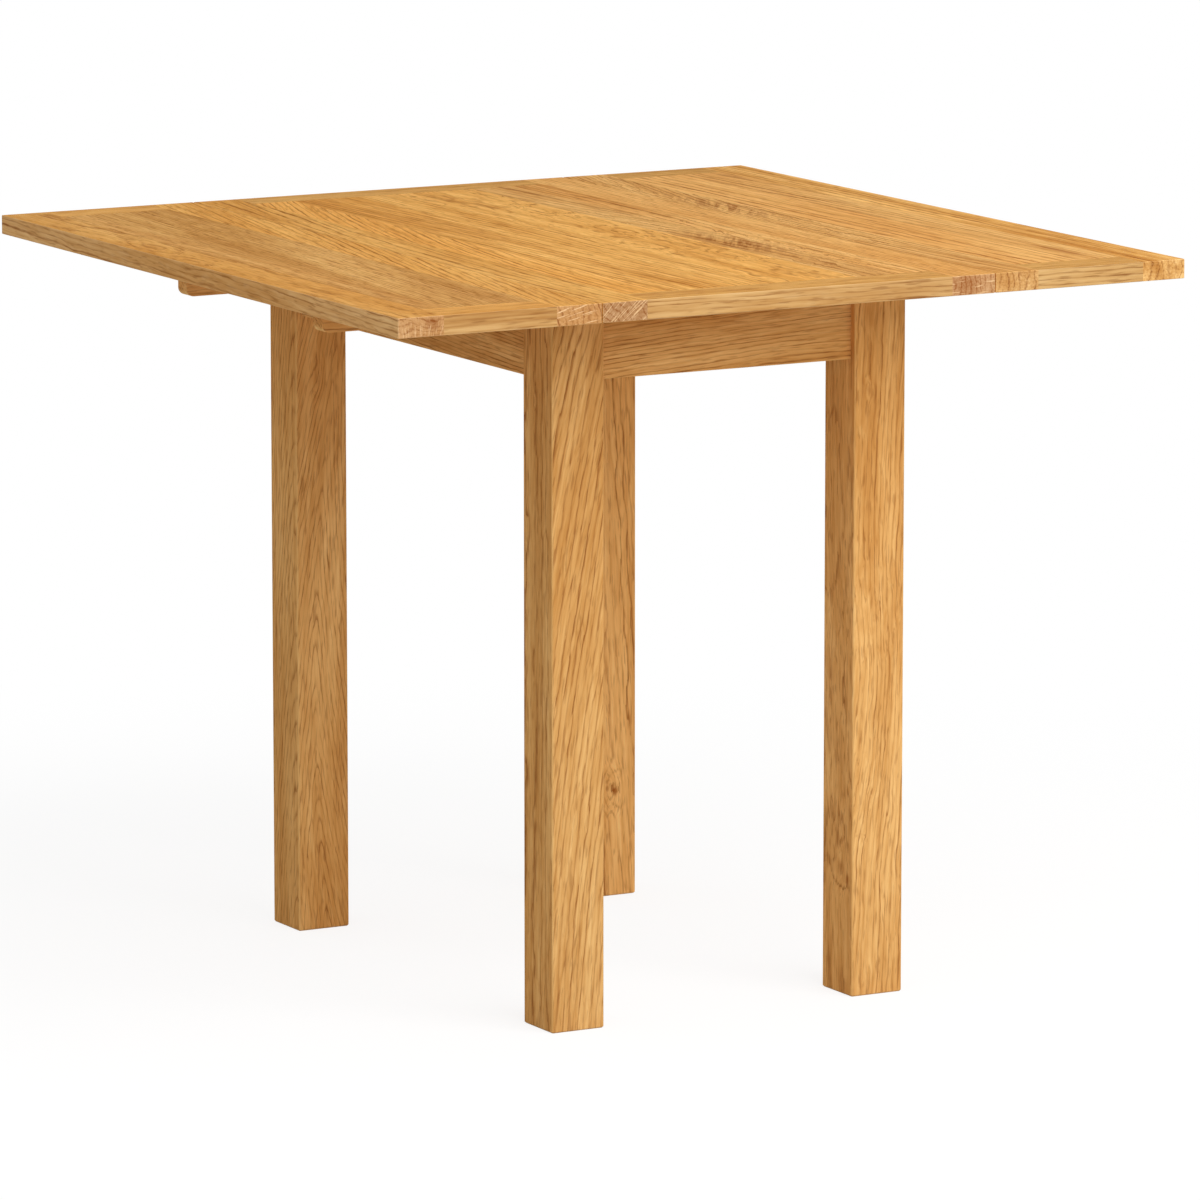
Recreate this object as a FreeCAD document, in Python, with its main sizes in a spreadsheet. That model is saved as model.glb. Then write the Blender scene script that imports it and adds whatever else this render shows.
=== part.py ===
import FreeCAD, Part
import os
import re
import Sketcher
from FreeCAD import Placement, Rotation, Vector

# Drop-leaf dining table in solid oak, in millimetres.
# +X runs across the leaves, +Y along the hinge lines, +Z up, and the origin is on the floor under the middle.
# The left leaf assembly is the right one turned half a turn about +Z.

# Driving sizes: word, value and what it measures
sizes = {
    "top_across": (900, "whole top, across the leaves"),
    "top_along": (900, "whole top, along the hinge lines"),
    "table_height": (760, "floor to top face"),
    "top_thickness": (20, "thickness of every panel"),
    "leaf_width": (225, "leaf, from its outer edge to the middle of the seam"),
    "seam_gap": (1, "gap between a leaf and the centre panel"),
    "stile_width": (50, "long side piece of a panel's frame"),
    "rail_width": (45, "end piece of a panel's frame"),
    "edge_ease": (1, "rounding of the panels' outer edges and the aprons' lower ones"),
    "centre_share_one": (0.137, "first infill board's share of the centre panel"),
    "centre_share_two": (0.220, "second board's share"),
    "centre_share_three": (0.134, "third board's share"),
    "centre_share_four": (0.266, "fourth board's share"),
    "centre_share_five": (0.135, "fifth board's share"),
    "left_inner_share": (0.784, "inner board's share of the left leaf's infill"),
    "right_inner_share": (0.600, "inner board's share of the right leaf's infill"),
    "leg_inset_across": (20, "middle of a seam to the legs' outer faces"),
    "leg_inset_along": (140, "end of the top to the legs' outer faces"),
    "leg_side": (60, "square leg"),
    "leg_round": (2.5, "rounding of a leg's long edges"),
    "leg_corner_cut": (14, "flat on a leg's inner edge, behind the aprons, for its bolts"),
    "foot_ease": (1.5, "bevel round the foot of a leg"),
    "apron_height": (80, "depth of the aprons"),
    "apron_thickness": (20, "thickness of the aprons"),
    "apron_setback": (8, "apron behind the legs' outer faces"),
    "bar_width": (20, "support bar, along the hinge line"),
    "bar_drop": (30, "underside of the leaf to the bar's lower face"),
    "bar_gap": (0.3, "running gap round a bar in its keeper"),
    "bar_inset": (51, "leaf's outer edge to the bar's rounded end"),
    "bar_seam_clear": (5, "bar's inner end to the middle of the seam, drawn out"),
    "bar_travel": (60, "how far a bar slides in under the centre panel"),
    "bar_round": (8, "rounding of a bar's lower outer corner"),
    "bar_bracket_gap": (7.3, "farther bar to the corner bracket beside it"),
    "bar_stagger": (58, "how much nearer the middle a leaf's other bar is"),
    "notch_gap": (0.5, "room round a bar in the apron's notch"),
    "keeper_drop_gap": (2, "keeper strap past the apron's depth, so that it clears it with the leaf down"),
    "keeper_length": (36, "keeper strap along the bar"),
    "keeper_metal": (2, "thickness of the strap"),
    "keeper_flange": (14, "screwed foot of the strap"),
    "keeper_pitch": (18, "between the two screws of a foot"),
    "stop_radius": (2.5, "stop pin across a bar"),
    "stop_proud": (4, "stop pin out of each side of the bar"),
    "stop_gap": (0.3, "stop pin to what stops it"),
    "hinge_length": (60, "butt hinge along its pin"),
    "hinge_inset": (90, "end of the top to the middle of an end hinge"),
    "flap_width": (25, "hinge pin to the edge of a flap"),
    "flap_metal": (1.6, "thickness of a flap"),
    "barrel_radius": (3.5, "outside of a hinge knuckle"),
    "barrel_gap": (0.3, "knuckle below the panels, and clear of the other flap"),
    "knuckle_gap": (0.3, "between neighbouring knuckles"),
    "pin_radius": (1.75, "hinge pin"),
    "pin_gap": (0.05, "radial clearance of pins and bolts"),
    "flap_screw_pitch": (20, "between the screws of a flap"),
    "flap_screw_row": (15, "hinge pin to the screws of a flap"),
    "screw_length": (15, "wood screw, head to tip"),
    "screw_radius": (1.7, "wood screw shank"),
    "screw_tip": (3, "pointed end of a wood screw"),
    "point_radius": (0.4, "blunted point of a wood screw"),
    "head_radius": (3.3, "countersunk head"),
    "head_height": (1.5, "depth of the countersunk head"),
    "slot_width": (0.7, "cross recess in the head"),
    "slot_length": (3.6, "cross recess, end to end"),
    "slot_depth": (0.9, "cross recess into the head"),
    "drill_gap": (0.1, "hole round a wood screw"),
    "corner_metal": (2.5, "thickness of a corner bracket"),
    "corner_height": (50, "height of a corner bracket"),
    "corner_lift": (4, "apron's lower edge to a corner bracket's"),
    "corner_gap": (4, "corner bracket to the leg it pulls on"),
    "corner_flange": (28, "screwed end of a corner bracket"),
    "corner_screw_pitch": (26, "between the two screws of a flange"),
    "bolt_radius": (4, "hanger bolt"),
    "bolt_in_leg": (40, "hanger bolt into the leg"),
    "bolt_pitch": (24, "between the two bolts of a leg"),
    "bolt_tail": (4, "bolt showing past its nut"),
    "bolt_hole_gap": (0.5, "bolt in the corner bracket's hole"),
    "nut_radius": (7.5, "nut, middle to corner"),
    "nut_height": (6.5, "nut along the bolt"),
    "washer_radius": (9, "washer outside"),
    "washer_metal": (1.6, "thickness of a washer"),
    "bracket_leg": (25, "either leg of an angle bracket"),
    "bracket_metal": (2, "thickness of an angle bracket"),
    "bracket_width": (22, "angle bracket along the apron"),
}

# Sizes that follow from the driving ones
derived = {
    "underside": "table_height - top_thickness",
    "fold_line": "top_across / 2 - leaf_width",
    "centre_half": "fold_line - seam_gap / 2",
    "leaf_start": "fold_line + seam_gap / 2",
    "panel_infill": "top_along - 2 * rail_width",
    "centre_infill": "2 * centre_half - 2 * stile_width",
    "leaf_infill": "leaf_width - seam_gap / 2 - 2 * stile_width",
    "base_across": "2 * (fold_line - leg_inset_across)",
    "base_along": "top_along - 2 * leg_inset_along",
    "apron_face_x": "base_across / 2 - apron_setback",
    "apron_face_y": "base_along / 2 - apron_setback",
    "inner_x": "apron_face_x - apron_thickness",
    "inner_y": "apron_face_y - apron_thickness",
    "corner_bottom": "underside - apron_height + corner_lift",
    "corner_mid": "corner_bottom + corner_height / 2",
    "hinge_drop": "barrel_radius + barrel_gap",
    "knuckle": "hinge_length / 5",
    "bar_start": "fold_line + bar_seam_clear",
    "bar_length": "top_across / 2 - bar_inset - bar_start",
    "bar_height": "bar_drop - bar_gap",
    "bar_far": "inner_y - corner_reach - bar_bracket_gap - bar_width / 2",
    "bar_near": "bar_far - bar_stagger",
    "bracket_spread": "(bar_near - bar_width / 2 - notch_gap) / 2",
    "keeper_start": "fold_line + apron_height + keeper_drop_gap",
    "keeper_channel": "bar_width + 2 * bar_gap",
    "keeper_wide": "keeper_channel + 2 * keeper_metal + 2 * keeper_flange",
    "keeper_deep": "bar_drop + bar_gap + keeper_metal",
    "leg_inside": "leg_side - apron_setback - apron_thickness",
    "corner_plate": "2 * leg_inside - leg_corner_cut + corner_gap * sqrt(2)",
    "corner_reach": "corner_plate + corner_flange",
    "corner_bend": "corner_plate + corner_metal * (sqrt(2) - 1)",
    "bolt_seat": "(corner_plate + corner_metal * sqrt(2)) / 2",
    "bolt_outside": "washer_metal + nut_height + bolt_tail",
    "bolt_inside": "corner_metal + corner_gap + bolt_in_leg",
}

doc = FreeCAD.newDocument("drop_leaf_table")
sheet = doc.addObject("Spreadsheet::Sheet", "Sizes")
for row, (word, (number, meaning)) in enumerate(sizes.items(), start=1):
    sheet.set(f"A{row}", word)
    sheet.set(f"B{row}", str(number))
    sheet.setAlias(f"B{row}", word)
    sheet.set(f"C{row}", meaning)
doc.recompute()

upwards = Rotation()
pieces = []


def formula(text):
    """The text with sheet cells in place of size words."""
    def swap(match):
        word = match.group()
        if word in derived:
            return "(" + formula(derived[word]) + ")"
        return "Sizes." + word if word in sizes else word
    return re.sub(r"[a-z_]+", swap, text)


def bind(obj, **values):
    for name, text in values.items():
        obj.setExpression(name, formula(text))


def place(obj, x, y, z, rotation=upwards):
    obj.Placement = Placement(Vector(), rotation)
    for axis, text in (("x", x), ("y", y), ("z", z)):
        obj.setExpression(".Placement.Base." + axis, formula(text))


def turned(degrees):
    return Rotation(Vector(0, 0, 1), degrees)


def pointing(x, y, z):
    return Rotation(Vector(0, 0, 1), Vector(x, y, z))


def keep(obj, node):
    """Hand the object in as the node of that name."""
    obj.Label = node
    pieces.append(obj)
    return obj


def solid(kind, name, **values):
    """A box, cylinder, cone or the like whose sizes follow formulas."""
    obj = doc.addObject("Part::" + kind, name)
    bind(obj, **values)
    return obj


def group(name, members, kind="Compound"):
    obj = doc.addObject("Part::" + kind, name)
    if kind == "Compound":
        obj.Links = members
    else:
        obj.Shapes = members
    return obj


def cut(name, base, tool):
    obj = doc.addObject("Part::Cut", name)
    obj.Base = base
    obj.Tool = tool
    return obj


def polygon(sketch, points):
    """A closed outline whose corners, all on or above the axes, are bound to formulas."""
    count = len(points)
    for k in range(count):
        start = Vector(k, k * k, 0)
        end = Vector((k + 1) % count, ((k + 1) % count) ** 2, 0)
        sketch.addGeometry(Part.LineSegment(start, end))
    for k in range(count):
        sketch.addConstraint(Sketcher.Constraint("Coincident", k, 2, (k + 1) % count, 1))
    for k, corner in enumerate(points):
        for axis, text, line in (("X", corner[0], -2), ("Y", corner[1], -1)):
            if text == "0":
                sketch.addConstraint(Sketcher.Constraint("PointOnObject", k, 1, line))
                continue
            distance = Sketcher.Constraint("Distance" + axis, -1, 1, k, 1, 1.0 + k)
            size = sketch.addConstraint(distance)
            sketch.setExpression(f"Constraints[{size}]", formula(text))


def profile(name, plane, points, length):
    """A body padded from an outline on one of its own planes."""
    body = doc.addObject("PartDesign::Body", name)
    sketch = body.newObject("Sketcher::SketchObject", name + "_outline")
    support = next(item for item in body.Origin.OriginFeatures if item.Role == plane)
    sketch.AttachmentSupport = (support, "")
    sketch.MapMode = "FlatFace"
    polygon(sketch, points)
    pad = body.newObject("PartDesign::Pad", name + "_pad")
    pad.Profile = sketch
    bind(pad, Length=length)
    doc.recompute()
    return body


def board(name, length, width, height):
    """A plain board with its low corner at its own origin."""
    outline = [("0", "0"), (length, "0"), (length, width), ("0", width)]
    return profile(name, "XY_Plane", outline, height)


def soften(body, kind, size, wanted):
    """Round or bevel the edges of the body's last feature that the test picks out."""
    base = body.Tip
    box = base.Shape.BoundBox
    edges = enumerate(base.Shape.Edges, start=1)
    names = [f"Edge{k}" for k, edge in edges if wanted(edge.BoundBox, box)]
    feature = body.newObject("PartDesign::" + kind, f"{body.Name}_{kind.lower()}")
    feature.Base = (base, names)
    bind(feature, **{"Radius" if kind == "Fillet" else "Size": size})
    doc.recompute()
    return body


def near(one, other):
    return abs(one - other) < 0.001


def on_sides(edge, box, sides):
    """True for a level or upright edge that lies wholly on one of the named sides."""
    at = {
        "-x": near(edge.XMax, box.XMin),
        "+x": near(edge.XMin, box.XMax),
        "-y": near(edge.YMax, box.YMin),
        "+y": near(edge.YMin, box.YMax),
    }
    held = [side for side in sides if at[side]]
    upright = edge.ZLength > edge.XLength + edge.YLength
    return len(held) == 2 if upright else len(held) == 1


def panel_piece(name, length, width, sides):
    """A board of a panel, with its edges on the panel's outline eased."""
    piece = board(name, length, width, "top_thickness")
    return soften(piece, "Fillet", "edge_ease", lambda edge, box: on_sides(edge, box, sides))


# Wood screw, its head face at its own origin and its point along +Z, and the hole that takes it
screw_head = solid("Cone", "screw_head", Radius1="head_radius", Radius2="screw_radius", Height="head_height")
screw_shank = solid("Cylinder", "screw_shank", Radius="screw_radius", Height="screw_length - screw_tip")
screw_point = solid("Cone", "screw_point", Radius1="screw_radius", Radius2="point_radius", Height="screw_tip")
place(screw_point, "0", "0", "screw_length - screw_tip")
screw_slots = []
for turn in (0, 1):
    across = ("slot_length", "slot_width")[turn]
    along = ("slot_width", "slot_length")[turn]
    slot = solid("Box", f"screw_slot_{turn}", Length=across, Width=along, Height="slot_depth")
    place(slot, f"-({across}) / 2", f"-({along}) / 2", "0")
    screw_slots.append(slot)
screw_blank = group("screw_blank", [screw_head, screw_shank, screw_point], "MultiFuse")
screw = cut("screw", screw_blank, group("screw_recess", screw_slots, "MultiFuse"))
bore_radius = "screw_radius + drill_gap"
sink = solid("Cone", "sink", Radius1="head_radius + drill_gap", Radius2=bore_radius, Height="head_height")
bore = solid("Cylinder", "bore", Radius=bore_radius, Height="screw_length + drill_gap")
drill = group("drill", [sink, bore], "MultiFuse")


def copies(name, master, spots):
    """Copies of one object, each at its own spot: x, y, z and the way it faces."""
    members = []
    for k, (x, y, z, rotation) in enumerate(spots, start=1):
        link = doc.addObject("App::Link", f"{name}_{k}")
        link.LinkedObject = master
        link.LinkTransform = False
        place(link, x, y, z, rotation)
        members.append(link)
    return group(name, members)


def screws(node, spots):
    """The screws of one group, kept as a node, and the holes that they need."""
    keep(copies(node, screw, spots), node)
    return copies(node + "_holes", drill, spots)


# Where each screw goes: the head's middle and the way the screw points
up = pointing(0, 0, 1)
hinge_rows = ["-(top_along / 2 - hinge_inset)", "0", "top_along / 2 - hinge_inset"]
leaf_sides = {"left": -1, "right": 1}
leaf_bars = ["-bar_near", "bar_far"]
flap_under = "underside - flap_metal"


def hinge_spots(side, inwards):
    """Screws of one side's flaps: inwards is -1 on the frame's flap and 1 on the leaf's."""
    across = f"{side} * (fold_line + {inwards} * flap_screw_row)"
    return [
        (across, f"{side} * ({row} + {step} * flap_screw_pitch)", flap_under, up)
        for row in hinge_rows for step in (-1, 0, 1)
    ]


def keeper_spots(side):
    foot = "(keeper_wide - keeper_flange) / 2"
    return [
        (f"{side} * (keeper_start + keeper_length / 2 + {end} * keeper_pitch / 2)",
         f"{side} * ({bar} + {flank} * {foot})", "underside - keeper_metal", up)
        for bar in leaf_bars for end in (-1, 1) for flank in (-1, 1)
    ]


# Angle brackets: the corner where one meets its apron, and the way it turns from the apron
fourth_board_mid = (
    "-centre_half + stile_width + centre_infill"
    " * (centre_share_one + centre_share_two + centre_share_three + centre_share_four / 2)"
)
half_bracket = "bracket_width / 2"
bracket_spots = []
bracket_screws_up = []
bracket_screws_out = []
bracket_mid = "(bracket_leg + bracket_metal) / 2"
for end in (-1, 1):
    bracket_spots.append((f"{fourth_board_mid} + {end} * {half_bracket}", f"{end} * inner_y",
                          "underside - bracket_leg", turned(0 if end < 0 else 180)))
    bracket_screws_up.append((fourth_board_mid, f"{end} * (inner_y - {bracket_mid})",
                              "underside - bracket_metal", up))
    bracket_screws_out.append((fourth_board_mid, f"{end} * (inner_y - bracket_metal)",
                               f"underside - {bracket_mid}", pointing(0, end, 0)))
    for spread in (-1, 1):
        middle = f"{spread} * bracket_spread"
        bracket_spots.append((f"{end} * inner_x", f"{middle} - {end} * {half_bracket}",
                              "underside - bracket_leg", turned(90 * end)))
        bracket_screws_up.append((f"{end} * (inner_x - {bracket_mid})", middle,
                                  "underside - bracket_metal", up))
        bracket_screws_out.append((f"{end} * (inner_x - bracket_metal)", middle,
                                   f"underside - {bracket_mid}", pointing(end, 0, 0)))

# The four corners: name, which side of X, which side of Y, and the turn from the front left one
corners = [
    ("front_left", -1, -1, 0),
    ("front_right", 1, -1, 90),
    ("back_right", 1, 1, 180),
    ("back_left", -1, 1, 270),
]
corner_spots = []
bolt_spots = []
flange_mid = "(corner_bend + corner_reach) / 2"
for name, x_side, y_side, turn in corners:
    for level in (-1, 1):
        height = f"corner_mid + {level} * corner_screw_pitch / 2"
        corner_spots.append((f"{x_side} * (inner_x - corner_metal)", f"{y_side} * (inner_y - {flange_mid})",
                             height, pointing(x_side, 0, 0)))
        corner_spots.append((f"{x_side} * (inner_x - {flange_mid})", f"{y_side} * (inner_y - corner_metal)",
                             height, pointing(0, y_side, 0)))
        bolt_spots.append((f"{x_side} * (inner_x - bolt_seat)", f"{y_side} * (inner_y - bolt_seat)",
                           f"corner_mid + {level} * bolt_pitch / 2", pointing(x_side, y_side, 0)))

frame_hinge_holes = screws("hinge_frame_screws", hinge_spots(-1, -1) + hinge_spots(1, -1))
leaf_holes = {
    name: screws(f"{name}_leaf_screws", hinge_spots(side, 1) + keeper_spots(side))
    for name, side in leaf_sides.items()
}
bracket_holes = screws("top_bracket_screws", bracket_screws_up + bracket_screws_out)
corner_holes = screws("corner_bracket_screws", corner_spots)
centre_holes = group("centre_holes", [frame_hinge_holes, bracket_holes])
apron_holes = group("apron_holes", [bracket_holes, corner_holes])

# Centre panel: stiles at the seams, end rails between them, and boards between the rails
for name, side in leaf_sides.items():
    stile = panel_piece(f"centre_stile_{name}_blank", "stile_width", "top_along", ("+x", "-y", "+y"))
    place(stile, f"{side} * (centre_half - stile_width)", f"-{side} * top_along / 2", "underside",
          turned(0 if side > 0 else 180))
    keep(cut(f"centre_stile_{name}_cut", stile, centre_holes), f"centre_stile_{name}")

for name, end in (("front", -1), ("back", 1)):
    rail = panel_piece(f"centre_rail_{name}_blank", "centre_infill", "rail_width", ("+y",))
    place(rail, f"-{end} * centre_infill / 2", f"{end} * (top_along / 2 - rail_width)", "underside",
          turned(0 if end > 0 else 180))
    keep(rail, f"centre_rail_{name}")

shares = [f"centre_share_{word}" for word in ("one", "two", "three", "four", "five")]
shares.append("(1 - " + " - ".join(shares) + ")")
before = "0"
for k, share in enumerate(shares, start=1):
    infill = board(f"centre_board_{k}_blank", f"centre_infill * {share}", "panel_infill", "top_thickness")
    place(infill, f"-centre_infill / 2 + centre_infill * ({before})", "-panel_infill / 2", "underside")
    keep(cut(f"centre_board_{k}_cut", infill, centre_holes), f"centre_board_{k}")
    before += " + " + share


def leaf_panel(name, side):
    """One leaf: an inner and an outer stile, two end rails and two infill boards."""
    turn = turned(0 if side > 0 else 180)
    holes = leaf_holes[name]
    starts = {"inner": "leaf_start", "outer": "top_across / 2 - stile_width"}
    for where, start in starts.items():
        edge = "-x" if where == "inner" else "+x"
        stile = panel_piece(f"{name}_stile_{where}_blank", "stile_width", "top_along", (edge, "-y", "+y"))
        place(stile, f"{side} * ({start})", f"-{side} * top_along / 2", "underside", turn)
        keep(cut(f"{name}_stile_{where}_cut", stile, holes), f"{name}_leaf_stile_{where}")
    rail_ends = {"-y": "-top_along / 2", "+y": "top_along / 2 - rail_width"}
    for edge, low_edge in rail_ends.items():
        where = "back" if (edge == "+y") == (side > 0) else "front"
        rail = panel_piece(f"{name}_rail_{where}_blank", "leaf_infill", "rail_width", (edge,))
        place(rail, f"{side} * (leaf_start + stile_width)", f"{side} * ({low_edge})", "underside", turn)
        keep(rail, f"{name}_leaf_rail_{where}")
    inner_share = f"{name}_inner_share"
    infill_boards = [("inner", "0", inner_share), ("outer", inner_share, f"(1 - {inner_share})")]
    for where, before, share in infill_boards:
        infill = board(f"{name}_board_{where}_blank", f"leaf_infill * {share}", "panel_infill",
                       "top_thickness")
        place(infill, f"{side} * (leaf_start + stile_width + leaf_infill * {before})",
              f"-{side} * panel_infill / 2", "underside", turn)
        keep(cut(f"{name}_board_{where}_cut", infill, holes), f"{name}_leaf_board_{where}")


def flap(name, side, inwards, knuckles, holes):
    """The three flaps of one side: a plate with knuckles rolled round the pin, and countersunk holes."""
    plate = solid("Box", f"{name}_plate", Length="flap_width - hinge_drop - barrel_gap", Width="hinge_length",
                  Height="flap_metal")
    plate_start = "hinge_drop + barrel_gap" if inwards > 0 else "-flap_width"
    place(plate, plate_start, "-hinge_length / 2", "hinge_drop - flap_metal")
    parts = [plate]
    for k in knuckles:
        start = f"-hinge_length / 2 + {k} * knuckle + knuckle_gap / 2"
        long = "knuckle - knuckle_gap"
        roll = solid("Cylinder", f"{name}_knuckle_{k}", Radius="barrel_radius", Height=long)
        place(roll, "0", start, "0", pointing(0, 1, 0))
        tab = solid("Box", f"{name}_tab_{k}", Length="hinge_drop + barrel_gap", Width=long,
                    Height="flap_metal")
        place(tab, "0" if inwards > 0 else "-(hinge_drop + barrel_gap)", start, "hinge_drop - flap_metal")
        parts += [roll, tab]
    pin_hole = solid("Cylinder", f"{name}_pin_hole", Radius="pin_radius + pin_gap", Height="hinge_length")
    place(pin_hole, "0", "-hinge_length / 2", "0", pointing(0, 1, 0))
    master = cut(f"{name}_bored", group(f"{name}_blank", parts, "MultiFuse"), pin_hole)
    turn = turned(0 if side > 0 else 180)
    across = f"{side} * fold_line"
    spots = [(across, f"{side} * ({row})", "underside - hinge_drop", turn) for row in hinge_rows]
    return cut(f"{name}_drilled", copies(f"{name}_row", master, spots), holes)


def leaf_hinges(name, side):
    """Three butt hinges under one seam."""
    keep(flap(f"{name}_frame_flap", side, -1, (0, 2, 4), frame_hinge_holes), f"{name}_hinge_frame_flaps")
    keep(flap(f"{name}_leaf_flap", side, 1, (1, 3), leaf_holes[name]), f"{name}_hinge_leaf_flaps")
    pin = solid("Cylinder", f"{name}_pin", Radius="pin_radius", Height="hinge_length")
    spots = [(f"{side} * fold_line", f"{side} * ({row}) - hinge_length / 2", "underside - hinge_drop",
              pointing(0, 1, 0)) for row in hinge_rows]
    keep(copies(f"{name}_pin_row", pin, spots), f"{name}_hinge_pins")


def leaf_supports(name, side):
    """Two sliding bars under one leaf, each in a keeper strap, with stop pins for both ends of its travel."""
    turn = turned(0 if side > 0 else 180)
    stop_out = "keeper_start - stop_radius - stop_gap"
    stop_in = "apron_face_x + stop_radius + stop_gap + bar_travel"
    stop_level = "underside - bar_gap - bar_height / 2"
    pin_hole = solid("Cylinder", f"{name}_stop_hole", Radius="stop_radius + pin_gap", Height="bar_width")
    pin = solid("Cylinder", f"{name}_stop", Radius="stop_radius", Height="bar_width + 2 * stop_proud")
    for middle in leaf_bars:
        where = "back" if (middle == "bar_far") == (side > 0) else "front"
        bar = board(f"{name}_bar_{where}_blank", "bar_length", "bar_width", "bar_height")
        soften(bar, "Fillet", "bar_round",
               lambda edge, box: near(edge.XMin, box.XMax) and near(edge.ZMax, box.ZMin))
        place(bar, f"{side} * bar_start", f"{side} * ({middle} - bar_width / 2)", "underside - bar_drop",
              turn)
        across = pointing(0, 1, 0)
        flank = f"{side} * ({middle}) - bar_width / 2"
        stops = [f"{side} * ({stop})" for stop in (stop_out, stop_in)]
        holes = [(x, flank, stop_level, across) for x in stops]
        pins = [(x, f"{flank} - stop_proud", stop_level, across) for x in stops]
        keep(cut(f"{name}_bar_{where}_cut", bar, copies(f"{name}_bar_{where}_holes", pin_hole, holes)),
             f"{name}_support_bar_{where}")
        keep(copies(f"{name}_bar_{where}_pins", pin, pins), f"{name}_bar_{where}_stop_pins")

    wall = "keeper_flange + keeper_metal"
    far_wall = "keeper_wide - keeper_flange"
    foot = "keeper_deep - keeper_metal"
    strap = profile(f"{name}_keeper", "YZ_Plane", [
        ("0", foot), ("keeper_flange", foot), ("keeper_flange", "0"), (far_wall, "0"), (far_wall, foot),
        ("keeper_wide", foot), ("keeper_wide", "keeper_deep"), (f"{far_wall} - keeper_metal", "keeper_deep"),
        (f"{far_wall} - keeper_metal", "keeper_metal"), (wall, "keeper_metal"), (wall, "keeper_deep"),
        ("0", "keeper_deep"),
    ], "keeper_length")
    spots = [
        (f"{side} * keeper_start", f"{side} * ({middle} - keeper_wide / 2)", "underside - keeper_deep", turn)
        for middle in leaf_bars
    ]
    keep(cut(f"{name}_keepers_drilled", copies(f"{name}_keeper_pair", strap, spots), leaf_holes[name]),
         f"{name}_bar_keepers")


for name, side in leaf_sides.items():
    leaf_panel(name, side)
    leaf_hinges(name, side)
    leaf_supports(name, side)

# Hanger bolts with their nuts and washers: origin on the corner bracket's inner face, leg along +Z
bolt_long = "bolt_outside + bolt_inside"
bolt = solid("Cylinder", "bolt", Radius="bolt_radius", Height=bolt_long)
bolt_hole = solid("Cylinder", "bolt_hole", Radius="bolt_radius + pin_gap", Height=f"{bolt_long} + pin_gap")
bracket_hole = solid("Cylinder", "bracket_hole", Radius="bolt_radius + bolt_hole_gap",
                     Height="corner_metal + corner_gap")
for obj in (bolt, bolt_hole):
    place(obj, "0", "0", "-(bolt_outside)")
washer_disc = solid("Cylinder", "washer_disc", Radius="washer_radius", Height="washer_metal")
place(washer_disc, "0", "0", "-washer_metal")
nut_block = doc.addObject("Part::Prism", "nut_block")
nut_block.Polygon = 6
bind(nut_block, Circumradius="nut_radius", Height="nut_height")
place(nut_block, "0", "0", "-washer_metal - nut_height")
keep(copies("bolts", bolt, bolt_spots), "hanger_bolts")
keep(copies("washers", cut("washer", washer_disc, bolt_hole), bolt_spots), "hanger_bolt_washers")
keep(copies("nuts", cut("nut", nut_block, bolt_hole), bolt_spots), "hanger_bolt_nuts")
leg_holes = copies("leg_holes", bolt_hole, bolt_spots)
bracket_bores = group("bracket_bores", [copies("bracket_holes", bracket_hole, bolt_spots), corner_holes])


def level_at_foot(edge, box):
    return near(edge.ZMax, box.ZMin)


def upright(edge, box):
    return near(edge.ZLength, box.ZLength)


def low_and_long(edge, box):
    """True for the two lower edges that run the length of an apron."""
    run = max(edge.XLength, edge.YLength)
    return near(edge.ZMax, box.ZMin) and near(run, max(box.XLength, box.YLength))


# Legs and corner brackets, one of each in every corner
for name, x_side, y_side, turn in corners:
    inner = "leg_side - leg_corner_cut"
    leg = board(f"leg_{name}_blank", "leg_side", "leg_side", "underside")
    soften(leg, "Fillet", "leg_round", upright)
    soften(leg, "Chamfer", "foot_ease", level_at_foot)
    flat = profile(f"leg_{name}_flat", "XY_Plane", [
        ("leg_side", inner), ("leg_side", "leg_side"), (inner, "leg_side"),
    ], "apron_height")
    for obj, bottom in ((leg, "0"), (flat, "underside - apron_height")):
        place(obj, f"{x_side} * base_across / 2", f"{y_side} * base_along / 2", bottom, turned(turn))
    keep(cut(f"leg_{name}_cut", cut(f"leg_{name}_flatted", leg, flat), leg_holes), f"leg_{name}")

    plate = profile(f"corner_{name}_blank", "XY_Plane", [
        ("0", "corner_reach"), ("0", "corner_plate"), ("corner_plate", "0"), ("corner_reach", "0"),
        ("corner_reach", "corner_metal"), ("corner_bend", "corner_metal"), ("corner_metal", "corner_bend"),
        ("corner_metal", "corner_reach"),
    ], "corner_height")
    place(plate, f"{x_side} * inner_x", f"{y_side} * inner_y", "corner_bottom", turned(turn))
    keep(cut(f"corner_{name}_cut", plate, bracket_bores), f"corner_bracket_{name}")

# End aprons between the legs, and side aprons with a notch in the top edge for each support bar
for name, end in (("front", -1), ("back", 1)):
    apron = board(f"apron_{name}_blank", "base_across - 2 * leg_side", "apron_thickness", "apron_height")
    soften(apron, "Fillet", "edge_ease", low_and_long)
    low_face = f"{end} * (apron_face_y + inner_y) / 2 - apron_thickness / 2"
    place(apron, "-(base_across / 2 - leg_side)", low_face, "underside - apron_height")
    keep(cut(f"apron_{name}_cut", apron, apron_holes), f"apron_{name}")

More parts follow.
